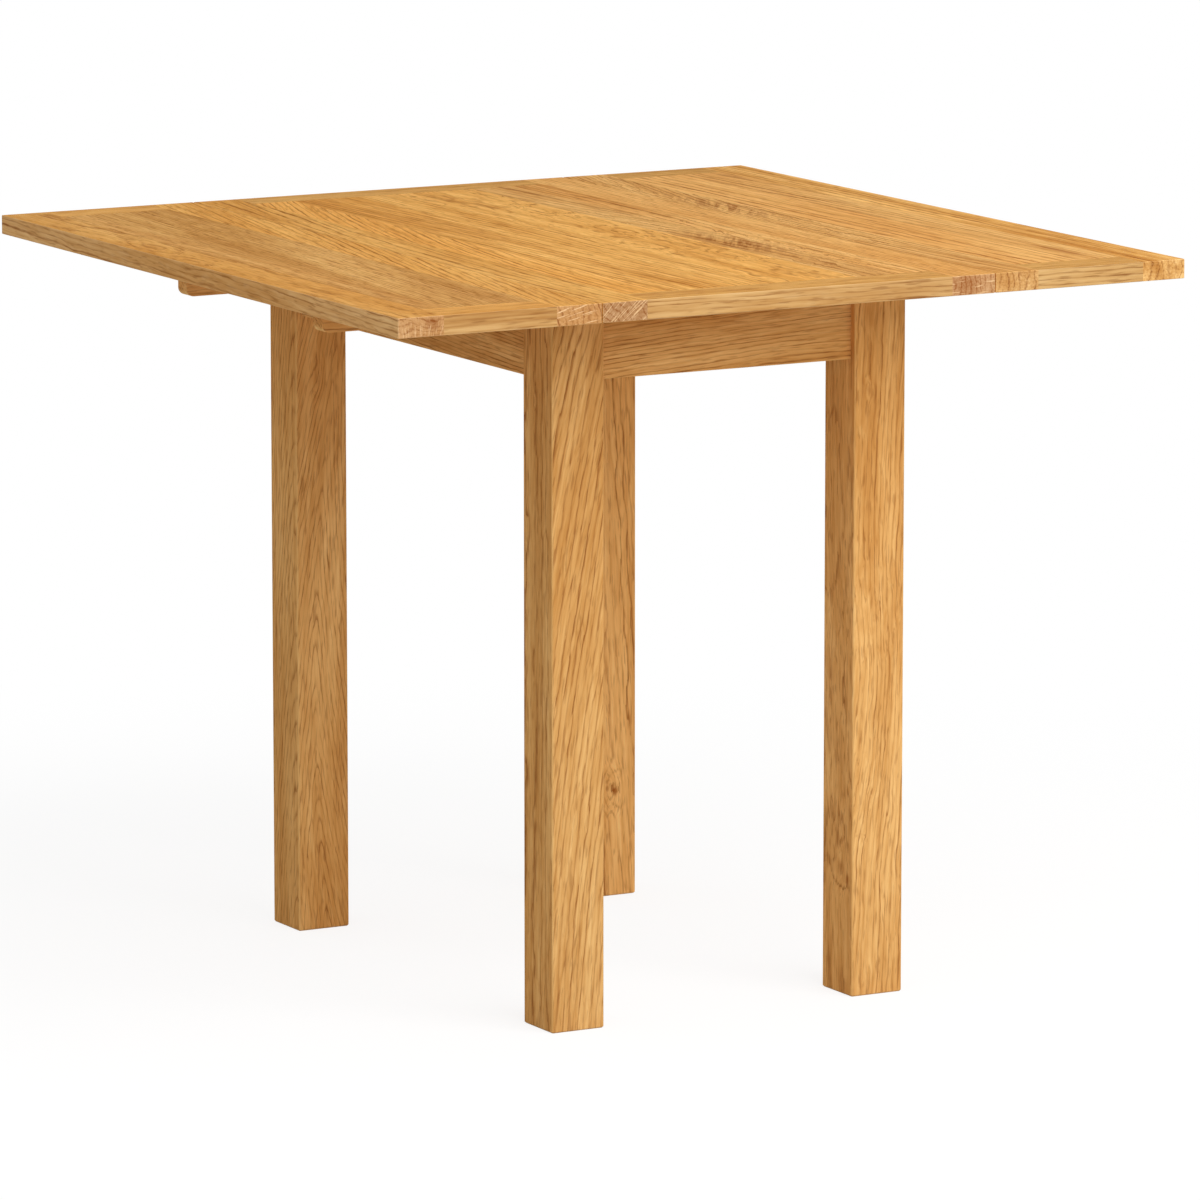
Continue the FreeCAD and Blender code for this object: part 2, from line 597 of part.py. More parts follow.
for name, side in leaf_sides.items():
    apron = board(f"apron_{name}_blank", "apron_thickness", "base_along - 2 * leg_side", "apron_height")
    soften(apron, "Fillet", "edge_ease", low_and_long)
    low_face = f"{side} * (apron_face_x + inner_x) / 2 - apron_thickness / 2"
    place(apron, low_face, "-(base_along / 2 - leg_side)", "underside - apron_height")
    notches = [apron_holes]
    for k, middle in enumerate(leaf_bars):
        notch = solid("Box", f"notch_{name}_{k}", Length="apron_thickness", Width="bar_width + 2 * notch_gap",
                      Height="bar_drop + notch_gap")
        place(notch, low_face, f"{side} * ({middle}) - bar_width / 2 - notch_gap",
              "underside - bar_drop - notch_gap")
        notches.append(notch)
    keep(cut(f"apron_{name}_cut", apron, group(f"apron_{name}_cuts", notches)), f"apron_{name}")

# Angle brackets between the aprons and the centre panel
angle = profile("angle_bracket", "YZ_Plane", [
    ("0", "0"), ("bracket_metal", "0"), ("bracket_metal", "bracket_leg - bracket_metal"),
    ("bracket_leg", "bracket_leg - bracket_metal"), ("bracket_leg", "bracket_leg"), ("0", "bracket_leg"),
], "bracket_width")
angle_set = copies("angle_bracket_set", angle, bracket_spots)
keep(cut("angle_brackets_drilled", angle_set, bracket_holes), "top_brackets")

doc.recompute()

for obj in doc.Objects:
    if {"Invalid", "Error"} & set(obj.State):
        raise RuntimeError(f"{obj.Label} did not build: {obj.State}")
for piece in pieces:
    if piece.Shape.isNull() or not piece.Shape.isValid() or not piece.Shape.Solids:
        raise RuntimeError(f"{piece.Label} has no valid solid")

os.makedirs("parts", exist_ok=True)
for piece in pieces:
    piece.Shape.exportStep(f"parts/{piece.Label}.step")
    print(f"{piece.Label}: {len(piece.Shape.Solids)} solids, {piece.Shape.Volume / 1000:.2f} cm3")
print(f"{len(pieces)} nodes")
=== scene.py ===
import math
import bpy
import numpy as np
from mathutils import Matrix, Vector


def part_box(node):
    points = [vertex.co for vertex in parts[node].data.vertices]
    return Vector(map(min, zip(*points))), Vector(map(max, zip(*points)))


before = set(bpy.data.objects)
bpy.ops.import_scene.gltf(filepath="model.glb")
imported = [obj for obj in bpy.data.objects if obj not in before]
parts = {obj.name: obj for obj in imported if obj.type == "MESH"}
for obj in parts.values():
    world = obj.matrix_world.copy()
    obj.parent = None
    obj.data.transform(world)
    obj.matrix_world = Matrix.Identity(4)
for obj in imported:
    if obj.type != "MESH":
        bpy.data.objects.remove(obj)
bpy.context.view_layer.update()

print("frame loaded:", len(parts), "parts")

# Drop-leaf table in oiled oak: every part comes from the frame, and this script gives it its finish.
# Metres throughout. X runs across the leaves, Y along the hinge lines, Z up.

# Small tools for wiring shader nodes


def feed(tree, socket, source):  # links a socket, or sets a plain value
    if isinstance(source, bpy.types.NodeSocket):
        tree.links.new(source, socket)
    else:
        socket.default_value = source


def calc(tree, operation, *sources):
    node = tree.nodes.new("ShaderNodeMath")
    node.operation = operation
    for socket, source in zip(node.inputs, sources):
        feed(tree, socket, source)
    return node.outputs[0]


def flipped(tree, source):  # 1 where the source is 0, and 0 where it is 1
    return calc(tree, "SUBTRACT", 1.0, source)


def centred(tree, source):  # 0 to 1 becomes -0.5 to 0.5
    return calc(tree, "SUBTRACT", source, 0.5)


def vectorCalc(tree, operation, *sources):
    node = tree.nodes.new("ShaderNodeVectorMath")
    node.operation = operation
    for socket, source in zip(node.inputs, sources):
        feed(tree, socket, source)
    return node.outputs["Value" if operation == "LENGTH" else "Vector"]


def parted(tree, vector):
    node = tree.nodes.new("ShaderNodeSeparateXYZ")
    feed(tree, node.inputs[0], vector)
    return node.outputs[0], node.outputs[1], node.outputs[2]


def joined(tree, x, y, z):
    node = tree.nodes.new("ShaderNodeCombineXYZ")
    for socket, source in zip(node.inputs, (x, y, z)):
        feed(tree, socket, source)
    return node.outputs[0]


def eased(tree, source, ends):  # 0 at the first end, 1 at the second, soft at both
    node = tree.nodes.new("ShaderNodeMapRange")
    node.interpolation_type = "SMOOTHSTEP"
    feed(tree, node.inputs["Value"], source)
    feed(tree, node.inputs["From Min"], ends[0])
    feed(tree, node.inputs["From Max"], ends[1])
    return node.outputs["Result"]


def mixed(tree, amount, first, second, kind="MIX"):  # colours
    node = tree.nodes.new("ShaderNodeMix")
    node.data_type = "RGBA"
    node.blend_type = kind
    feed(tree, node.inputs[0], amount)
    feed(tree, node.inputs[6], first)
    feed(tree, node.inputs[7], second)
    return node.outputs[2]


def mixedValue(tree, amount, first, second):
    node = tree.nodes.new("ShaderNodeMix")
    feed(tree, node.inputs[0], amount)
    feed(tree, node.inputs[2], first)
    feed(tree, node.inputs[3], second)
    return node.outputs[0]


def mixedShader(tree, amount, first, second):
    node = tree.nodes.new("ShaderNodeMixShader")
    for socket, source in zip(node.inputs, (amount, first, second)):
        feed(tree, socket, source)
    return node.outputs[0]


def cloud(tree, place, stretch, seed, detail=2.0):  # soft noise, stretched by features per metre
    node = tree.nodes.new("ShaderNodeTexNoise")
    node.noise_dimensions = "4D"
    feed(tree, node.inputs["Vector"], vectorCalc(tree, "MULTIPLY", place, stretch))
    feed(tree, node.inputs["W"], seed)
    node.inputs["Scale"].default_value = 1.0
    node.inputs["Detail"].default_value = detail
    return node.outputs["Fac"]


def seenDirectly(tree):  # 1 for what the eye, a mirror or glass sees, 0 for light that falls on the table
    path = tree.nodes.new("ShaderNodeLightPath").outputs
    clear = calc(tree, "MAXIMUM", path["Is Glossy Ray"], path["Is Transmission Ray"])
    return calc(tree, "MAXIMUM", path["Is Camera Ray"], clear)


def grey(value):
    return (value, value, value, 1)


def newGroup(name, inputs, outputs):  # inputs and outputs: kind of socket, and the names of such sockets
    tree = bpy.data.node_groups.new(name, "ShaderNodeTree")
    for direction, sockets in (("INPUT", inputs), ("OUTPUT", outputs)):
        for kind, labels in sockets.items():
            for label in labels.split():
                tree.interface.new_socket(name=label, in_out=direction, socket_type="NodeSocket" + kind)
    source = tree.nodes.new("NodeGroupInput").outputs
    target = tree.nodes.new("NodeGroupOutput").inputs
    return tree, source, target


def putOut(tree, target, **values):
    for label, value in values.items():
        feed(tree, target[label], value)


def placeGroup(tree, group, **values):
    node = tree.nodes.new("ShaderNodeGroup")
    node.node_tree = group
    for label, value in values.items():
        feed(tree, node.inputs[label], value)
    return node.outputs


def newMaterial(name):
    material = bpy.data.materials.new(name)
    material.use_nodes = True
    return material, material.node_tree


def finishSurface(tree, out, look):  # colour, roughness and a fine bump onto the material's own shader
    shader = tree.nodes["Principled BSDF"]
    bump = tree.nodes.new("ShaderNodeBump")
    bump.inputs["Strength"].default_value = look["bumpStrength"]
    bump.inputs["Distance"].default_value = look["bumpDepth"]
    feed(tree, bump.inputs["Height"], out["height"])
    feed(tree, shader.inputs["Base Color"], out["colour"])
    feed(tree, shader.inputs["Roughness"], out["roughness"])
    feed(tree, shader.inputs["Normal"], bump.outputs["Normal"])
    return shader


def dress(name, material):
    slots = parts[name].data.materials
    slots.clear()
    slots.append(material)


# Oak as a solid: growth rings round a pith line, pores in each ring's early wood, rays and fibre.
# Its coordinates are x along the grain, y across and z deep, from the middle of the piece.
# Stretches are features per metre in those directions, and ends are where a noise starts and stops to show.
oakTexture = {
    "waveStretch": (1.4, 8, 8), "waveDetail": 0.6,  # slow wander of the rings
    "curlStretch": (16, 42, 42),  # tight figure, as beside a knot
    "raggedStretch": (32, 380, 380), "ragged": 0.5,  # pores that fray a ring's edge, in ring widths
    "ringStrength": (0.6, 0.45),  # how much the rings' lines differ, and the faintest
    "earlyWood": (0.02, 0.31),  # share of a ring over which its porous line fades
    "lateWood": (0.82, 1.0), "lateDepth": 0.35,  # share of a ring that is dense, and how dark that is
    "strokeStretch": (7, 150, 150), "strokeEnds": (0.34, 0.6),  # where a ring's line shows and where it fades
    "strokeDepth": (0.7, 0.3),  # how much of a line comes and goes, and how much stays
    "poreStretch": (45, 470, 470),  # dashes along the grain
    "rowPores": (0.36, 0.6),  # pores in the rings' lines
    "strayPores": (0.54, 0.7), "strayDepth": 0.5,  # pores between them
    "fibreStretch": (20, 360, 360),
    "bandStretch": (2.6, 60, 60), "bandEnds": (0.28, 0.72),  # lighter and darker bands along the grain
    "driftStretch": (2.2, 16, 16), "driftEnds": (0.3, 0.7),  # broad changes of colour
    "fleckStretch": (48, 260, 120), "fleckEnds": (0.54, 0.7),  # rays on the faces
    "rayCount": 150, "rayBreaks": 40.0, "rayEnds": (0.58, 0.66),  # rays on end grain: per radian, per metre
    "plainDetail": 1.0, "richDetail": 3.0,  # octaves of the noises
    "endTurn": (0.6, 0.9),  # how squarely a face looks along the grain before it is end grain
    "deepTurn": (0.6, 0.8),  # the same for a face that looks deep
}


def buildOakGrain():
    look = oakTexture
    tree, source, target = newGroup(
        "oakGrain",
        {"Vector": "place",
         "Float": "endFacing deepFacing seed pithAcross pithDeep leanAcross leanDeep bowAcross bowDeep "
                  "ringWidth wave curl taper uneven push"},
        {"Float": "line pores fibre band drift rays end"},
    )
    seed = source["seed"]
    along, across, deep = parted(tree, source["place"])
    leanAcross = calc(tree, "MULTIPLY_ADD", along, source["bowAcross"], source["leanAcross"])
    leanDeep = calc(tree, "MULTIPLY_ADD", along, source["bowDeep"], source["leanDeep"])
    # the deep lean is cut on the faces square to it, where it would only break up the lines
    kept = flipped(tree, eased(tree, calc(tree, "ABSOLUTE", source["deepFacing"]), look["deepTurn"]))
    alongKept = calc(tree, "MULTIPLY", along, kept)
    pithAcross = calc(tree, "MULTIPLY_ADD", along, leanAcross, source["pithAcross"])
    pithDeep = calc(tree, "MULTIPLY_ADD", alongKept, leanDeep, source["pithDeep"])
    aside = calc(tree, "SUBTRACT", across, pithAcross)
    below = calc(tree, "SUBTRACT", deep, pithDeep)
    leaning = joined(tree, along, aside, below)
    # rings bend by slow waves, tight curls and the push of knots, and the fibres bend with them
    wave = centred(tree, cloud(tree, leaning, look["waveStretch"], seed, look["waveDetail"]))
    curl = centred(tree, cloud(tree, leaning, look["curlStretch"], seed))
    bend = calc(tree, "MULTIPLY_ADD", wave, source["wave"], source["push"])
    bend = calc(tree, "MULTIPLY_ADD", curl, source["curl"], bend)
    flow = joined(tree, along, calc(tree, "ADD", aside, bend), calc(tree, "ADD", below, bend))
    square = calc(tree, "MULTIPLY_ADD", aside, aside, calc(tree, "MULTIPLY", below, below))
    radius = calc(tree, "ADD", calc(tree, "SQRT", square), bend)
    radius = calc(tree, "MULTIPLY_ADD", along, source["taper"], radius)
    # years counted from the pith: the whole number is the ring, the rest is the place in it
    fray = centred(tree, cloud(tree, flow, look["raggedStretch"], seed))
    bands = cloud(tree, flow, look["bandStretch"], seed)
    years = calc(tree, "DIVIDE", radius, source["ringWidth"])
    years = calc(tree, "MULTIPLY_ADD", centred(tree, bands), source["uneven"], years)
    years = calc(tree, "MULTIPLY_ADD", fray, look["ragged"], years)
    share = calc(tree, "FRACT", years)
    ringLuck = tree.nodes.new("ShaderNodeTexWhiteNoise")
    ringLuck.noise_dimensions = "2D"
    feed(tree, ringLuck.inputs["Vector"], joined(tree, calc(tree, "FLOOR", years), seed, 0.0))
    strength = calc(tree, "MULTIPLY_ADD", ringLuck.outputs["Value"], *look["ringStrength"])
    early = flipped(tree, eased(tree, share, look["earlyWood"]))
    late = calc(tree, "MULTIPLY", eased(tree, share, look["lateWood"]), look["lateDepth"])
    stroke = eased(tree, cloud(tree, flow, look["strokeStretch"], seed), look["strokeEnds"])
    line = calc(tree, "MULTIPLY", calc(tree, "MAXIMUM", early, late), strength)
    line = calc(tree, "MULTIPLY", line, calc(tree, "MULTIPLY_ADD", stroke, *look["strokeDepth"]))
    dash = cloud(tree, flow, look["poreStretch"], seed, look["plainDetail"])
    rowPores = calc(tree, "MULTIPLY", line, eased(tree, dash, look["rowPores"]))
    strayPores = calc(tree, "MULTIPLY", eased(tree, dash, look["strayPores"]), look["strayDepth"])
    # rays: flecks along the grain on the faces, thin spokes from the pith on the ends
    end = eased(tree, calc(tree, "ABSOLUTE", source["endFacing"]), look["endTurn"])
    spoke = calc(tree, "MULTIPLY", calc(tree, "ARCTAN2", aside, below), look["rayCount"])
    spokePlace = joined(tree, spoke, calc(tree, "MULTIPLY", radius, look["rayBreaks"]), 0.0)
    spokes = cloud(tree, spokePlace, (1, 1, 1), seed, look["plainDetail"])
    spokes = eased(tree, spokes, look["rayEnds"])
    flecks = cloud(tree, flow, look["fleckStretch"], seed, look["plainDetail"])
    flecks = eased(tree, flecks, look["fleckEnds"])
    drift = cloud(tree, flow, look["driftStretch"], seed, look["richDetail"])
    putOut(
        tree, target, line=line, pores=calc(tree, "MAXIMUM", rowPores, strayPores),
        fibre=cloud(tree, flow, look["fibreStretch"], seed, look["richDetail"]),
        band=eased(tree, bands, look["bandEnds"]), drift=eased(tree, drift, look["driftEnds"]),
        rays=mixedValue(tree, end, flecks, spokes), end=end,
    )
    return tree


# A knot or a crotch: how far the rings bulge round it, how dark its heart is, and the ripples in it
knotForm = {
    "ragged": 0.7,  # how far ripples move its outline, in reaches
    "pushEnds": (0.0, 2.4),  # reaches from its middle between which the bulge fades
    "heartEnds": (0.2, 1.0),  # the same for its dark heart
    "rippleEnds": (0.38, 0.62), "rippleDetail": 3.0,
}


def buildOakKnot():
    look = knotForm
    tree, source, target = newGroup(
        "oakKnot",
        {"Vector": "place centre reach ripple", "Float": "bulge heart slant solid seed"},
        {"Float": "push dark"},
    )
    seed = source["seed"]
    offset = vectorCalc(tree, "SUBTRACT", source["place"], source["centre"])
    distance = vectorCalc(tree, "LENGTH", vectorCalc(tree, "DIVIDE", offset, source["reach"]))
    along, across, deep = parted(tree, source["place"])
    slanted = joined(tree, along, calc(tree, "MULTIPLY_ADD", along, source["slant"], across), deep)
    uneven = centred(tree, cloud(tree, slanted, source["ripple"], seed))
    distance = calc(tree, "MULTIPLY_ADD", uneven, look["ragged"], distance)
    around = flipped(tree, eased(tree, distance, look["pushEnds"]))
    heart = flipped(tree, eased(tree, distance, look["heartEnds"]))
    ripples = cloud(tree, slanted, source["ripple"], seed, look["rippleDetail"])
    ripples = calc(tree, "MAXIMUM", eased(tree, ripples, look["rippleEnds"]), source["solid"])
    dark = calc(tree, "MULTIPLY", calc(tree, "MULTIPLY", heart, source["heart"]), ripples)
    putOut(tree, target, push=calc(tree, "MULTIPLY", around, source["bulge"]), dark=dark)
    return tree


# Oak's colour from its grain: two tones of ground, brown rings, dark pores, pale rays, darker ends,
# and a paler line along the rounded edges, a painted highlight
oakShading = {
    "endLines": 0.45,  # ring lines on the ends, beyond a piece's endDepth
    "veins": (0.9, 0.75),  # dark wood in a knot: how much the ring lines add, and the rest
    "paintedHighlightEnds": (0.84, 0.985), "paintedHighlightDepth": 0.45,  # painted highlight along the rounded edges: by how squarely they face, and how pale it is
    "fibreShade": (0.6, 0.7),  # light and dark of the fibres: spread, and the darkest
    "greenFall": 1.6, "blueFall": 2.4,  # darker wood is redder: powers of the shade
    "levelEnds": (0.6, 0.9),  # how level a face is before it no longer counts as an edge
    "sheen": (0.14, 0.5), "poreRoughness": 0.2,
    "fibreHeight": 0.3,  # against a pore's depth of 1
}


def buildOakColour():
    look = oakShading
    tree, source, target = newGroup(
        "oakColour",
        {"Vector": "facing",
         "Float": "line pores fibre band drift rays end dark "
                  "lineDepth poreDepth rayDepth bandDepth endDepth endRays tone",
         "Color": "pale gold brown pore heart ray endBrown edgeTint endTint"},
        {"Color": "colour", "Float": "roughness height"},
    )
    line, end, fibre, tone = source["line"], source["end"], source["fibre"], source["tone"]
    ground = mixed(tree, source["drift"], source["gold"], source["pale"])
    colour = mixed(tree, calc(tree, "MULTIPLY", line, source["lineDepth"]), ground, source["brown"])
    endGround = mixed(tree, source["endDepth"], ground, source["endBrown"])
    endLines = calc(tree, "MULTIPLY", line, calc(tree, "ADD", source["endDepth"], look["endLines"]))
    colour = mixed(tree, end, colour, mixed(tree, endLines, endGround, source["pore"]))
    pores = calc(tree, "MULTIPLY", source["pores"], source["poreDepth"])
    colour = mixed(tree, pores, colour, source["pore"])
    veins = calc(tree, "MULTIPLY_ADD", line, *look["veins"])
    heart = calc(tree, "MINIMUM", calc(tree, "MULTIPLY", source["dark"], veins), 1.0)
    colour = mixed(tree, heart, colour, source["heart"])
    rayDepth = calc(tree, "MULTIPLY_ADD", end, source["endRays"], source["rayDepth"])
    colour = mixed(tree, calc(tree, "MULTIPLY", source["rays"], rayDepth), colour, source["ray"])
    x, y, z = [calc(tree, "ABSOLUTE", value) for value in parted(tree, source["facing"])]
    squareness = calc(tree, "MAXIMUM", x, calc(tree, "MAXIMUM", y, z))
    # painted highlight: the rounded edges are mixed toward the pale ray colour, as if they caught the light
    paintedHighlight = flipped(tree, eased(tree, squareness, look["paintedHighlightEnds"]))
    colour = mixed(tree, calc(tree, "MULTIPLY", paintedHighlight, look["paintedHighlightDepth"]), colour, source["ray"])
    band = calc(tree, "MULTIPLY_ADD", centred(tree, source["band"]), source["bandDepth"], 1.0)
    shade = calc(tree, "MULTIPLY", calc(tree, "MULTIPLY_ADD", fibre, *look["fibreShade"]), band)
    green = calc(tree, "POWER", shade, look["greenFall"])
    blue = calc(tree, "POWER", shade, look["blueFall"])
    colour = mixed(tree, 1.0, colour, joined(tree, shade, green, blue), "MULTIPLY")
    colour = mixed(tree, 1.0, colour, joined(tree, tone, tone, tone), "MULTIPLY")
    # upright faces of a piece, ends aside, take its edge tint, and its ends take its end tint; on the top
    # these are greyer than its level faces
    upright = flipped(tree, eased(tree, z, look["levelEnds"]))
    edge = calc(tree, "MULTIPLY", upright, flipped(tree, end))
    colour = mixed(tree, edge, colour, source["edgeTint"], "MULTIPLY")
    colour = mixed(tree, end, colour, source["endTint"], "MULTIPLY")
    sheen = calc(tree, "MULTIPLY_ADD", fibre, *look["sheen"])
    putOut(
        tree, target, colour=colour,
        roughness=calc(tree, "MULTIPLY_ADD", pores, look["poreRoughness"], sheen),
        height=calc(tree, "SUBTRACT", calc(tree, "MULTIPLY", fibre, look["fibreHeight"]), pores),
    )
    return tree


oakGrain = buildOakGrain()
oakKnot = buildOakKnot()
oakColour = buildOakColour()
print("oak node groups made")

# Oak tones, as the light shows them: ground between gold and pale, ring lines, pores
oakTones = {
    "golden": {"pale": (0.83, 0.458, 0.156), "gold": (0.72, 0.358, 0.105),
               "brown": (0.41, 0.152, 0.034), "pore": (0.29, 0.1, 0.023)},
    "honey": {"pale": (0.87, 0.465, 0.135), "gold": (0.76, 0.36, 0.085),
              "brown": (0.43, 0.146, 0.027), "pore": (0.33, 0.106, 0.019)},
    "amber": {"pale": (0.905, 0.48, 0.13), "gold": (0.8, 0.38, 0.085),
              "brown": (0.40, 0.13, 0.022), "pore": (0.32, 0.1, 0.017)},
    "tan": {"pale": (0.885, 0.492, 0.16), "gold": (0.775, 0.38, 0.105),
            "brown": (0.40, 0.13, 0.025), "pore": (0.32, 0.098, 0.018)},
    "dull": {"pale": (0.74, 0.40, 0.125), "gold": (0.62, 0.305, 0.08),
             "brown": (0.36, 0.127, 0.026), "pore": (0.27, 0.087, 0.017)},
}
everyOak = {"heart": (0.32, 0.09, 0.014), "ray": (0.9, 0.55, 0.2), "endBrown": (0.43, 0.205, 0.07)}
oakFinish = {"specular": 0.003, "bumpStrength": 0.25, "bumpDepth": 0.0004}

# How each grain axis turns onto x, and which way its ends and its deep faces look in the table's frame
grainAxes = {
    "x": {"turn": (0, 0, 0), "end": 0, "deep": 2},
    "y": {"turn": (0, 0, -math.pi / 2), "end": 1, "deep": 2},
    "z": {"turn": (0, math.pi / 2, 0), "end": 2, "deep": 0},
}
plainKnot = {"bulge": 0.0, "heart": 0.0, "ripple": (28, 240, 240), "slant": 0.0, "solid": 0.0}


def grainPlace(axis, point):  # the same turn as the Mapping node's, for a point in the table's frame
    x, y, z = point
    return {"x": (x, y, z), "y": (y, -x, z), "z": (z, y, -x)}[axis]


def oakMaterial(name, look, seed):
    material, tree = newMaterial(name + "_oak")
    axis = look["axis"]
    sides = grainAxes[axis]
    low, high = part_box(name)
    centre = grainPlace(axis, (low + high) / 2)
    coords = tree.nodes.new("ShaderNodeTexCoord").outputs
    mapping = tree.nodes.new("ShaderNodeMapping")
    mapping.inputs["Rotation"].default_value = sides["turn"]
    mapping.inputs["Location"].default_value = [-value for value in centre]
    feed(tree, mapping.inputs["Vector"], coords["Object"])
    place = mapping.outputs["Vector"]
    facing = parted(tree, coords["Normal"])
    push, dark = 0.0, 0.0
    for k, knot in enumerate(look["knots"]):
        form = {**plainKnot, **knot}
        form["centre"] = tuple(np.subtract(grainPlace(axis, form.pop("at")), centre))
        out = placeGroup(tree, oakKnot, place=place, seed=seed + k, **form)
        push = calc(tree, "ADD", push, out["push"])
        dark = calc(tree, "MAXIMUM", dark, out["dark"])
    grain = placeGroup(
        tree, oakGrain, place=place, seed=seed, push=push,
        endFacing=facing[sides["end"]], deepFacing=facing[sides["deep"]],
        pithAcross=look["pith"][0], pithDeep=look["pith"][1],
        leanAcross=look["lean"][0], leanDeep=look["lean"][1],
        bowAcross=look["bow"][0], bowDeep=look["bow"][1],
        **{word: look[word] for word in ("ringWidth", "wave", "curl", "taper", "uneven")},
    )
    figure = {word: grain[word] for word in ("line", "pores", "fibre", "band", "drift", "rays", "end")}
    depths = {word: look[word] for word in (
        "lineDepth", "poreDepth", "rayDepth", "bandDepth", "endDepth", "endRays", "tone")}
    tints = {"edgeTint": look["edgeTint"], "endTint": look["endTint"]}
    colours = {**oakTones[look["tones"]], **everyOak, **tints}
    shown = placeGroup(
        tree, oakColour, facing=coords["Normal"], dark=dark, **figure, **depths,
        **{word: (*colour, 1) for word, colour in colours.items()},
    )
    shader = finishSurface(tree, shown, oakFinish)
    shader.inputs["Specular IOR Level"].default_value = oakFinish["specular"]
    return material


# A piece's look starts from these and changes what it needs. A pair is across the grain and deep.
plainOak = {
    "axis": "y", "tones": "golden", "tone": 1.0,  # which way the grain runs, which oak, how light
    "pith": (0.16, -0.06), "lean": (0.0, 0.0), "bow": (0.0, 0.0),  # the pith's place, slope and bend
    "ringWidth": 0.0042, "uneven": 2.0,  # metres, and how much the rings differ, in rings
    "wave": 0.016, "curl": 0.004, "taper": 0.0,  # how far the rings wander, and close in along the piece
    "lineDepth": 0.75, "poreDepth": 0.8, "rayDepth": 0.12, "bandDepth": 0.2,
    "endDepth": 0.4, "endRays": 0.8,  # end grain: how brown, and how clear its rays are
    "edgeTint": (1.0, 1.0, 1.0), "endTint": (1.0, 1.06, 1.5),  # red, green and blue of edges and of ends
    "knots": [],  # each: point in the table's frame, reach along, across and deep, bulge, heart
}

# Table top, left to right: stiles and boards run along Y, end rails along X
topFace = 0.76
outerEdge = (1.07, 1.19, 1.7)
smoothRail = {
    "axis": "x", "tones": "honey", "pith": (0.12, -0.1), "ringWidth": 0.003, "wave": 0.02,
    "lineDepth": 0.85, "poreDepth": 0.9, "rayDepth": 0.08,
}
leftRail = {**smoothRail, "tone": 0.98, "edgeTint": (0.8, 0.9, 1.27)}
centreRail = {**smoothRail, "tone": 0.86, "edgeTint": (0.94, 1.07, 1.52)}
rightRail = {**smoothRail, "tone": 0.82, "lineDepth": 0.55, "edgeTint": (1.01, 1.16, 1.6)}
feather = {"ripple": (22, 150, 150), "slant": 0.6}  # the fan of dark lines beside a crotch
stain = {"reach": (0.22, 0.07, 0.05), "solid": 1.0}  # a broad stretch of browner wood
leftLeaf = {
    "left_leaf_stile_outer": {
        "tones": "honey", "tone": 0.94, "pith": (0.0, -0.1), "lean": (0.0, 0.03), "ringWidth": 0.006,
        "curl": 0.007, "bandDepth": 0.1, "lineDepth": 0.8, "edgeTint": outerEdge,
        "knots": [
            {"at": (-0.413, -0.449, 0.752), "reach": (0.02, 0.012, 0.01), "bulge": 0.006, "heart": 1.0,
             "solid": 0.5},
            {"at": (-0.424, 0.14, topFace), "reach": (0.03, 0.01, 0.02), "bulge": 0.012, "heart": 0.3},
            {"at": (-0.438, 0.02, topFace), "reach": (0.03, 0.008, 0.02), "bulge": 0.009, "heart": 0.25},
        ],
    },
    "left_leaf_board_outer": {
        "tones": "tan", "tone": 0.9, "curl": 0.008, "lineDepth": 0.4, "poreDepth": 1.0,
        "knots": [{**stain, "at": (-0.37, -0.34, topFace), "heart": 0.16}],
    },
    "left_leaf_board_inner": {
        "tones": "dull", "tone": 1.02, "pith": (0.18, -0.1), "lean": (-0.06, 0.0), "curl": 0.008,
        "lineDepth": 0.45, "poreDepth": 1.0,
        "knots": [{**stain, "at": (-0.31, -0.36, topFace), "heart": 0.18}],
    },
    "left_leaf_stile_inner": {
        "tones": "amber", "tone": 0.98, "pith": (0.14, -0.05), "lean": (-0.19, 0.0), "ringWidth": 0.0068,
        "bandDepth": 0.08, "lineDepth": 1.0,
        "knots": [{**stain, "at": (-0.25, -0.36, topFace), "heart": 0.2}],
    },
    "left_leaf_rail_front": leftRail,
    "left_leaf_rail_back": leftRail,
}
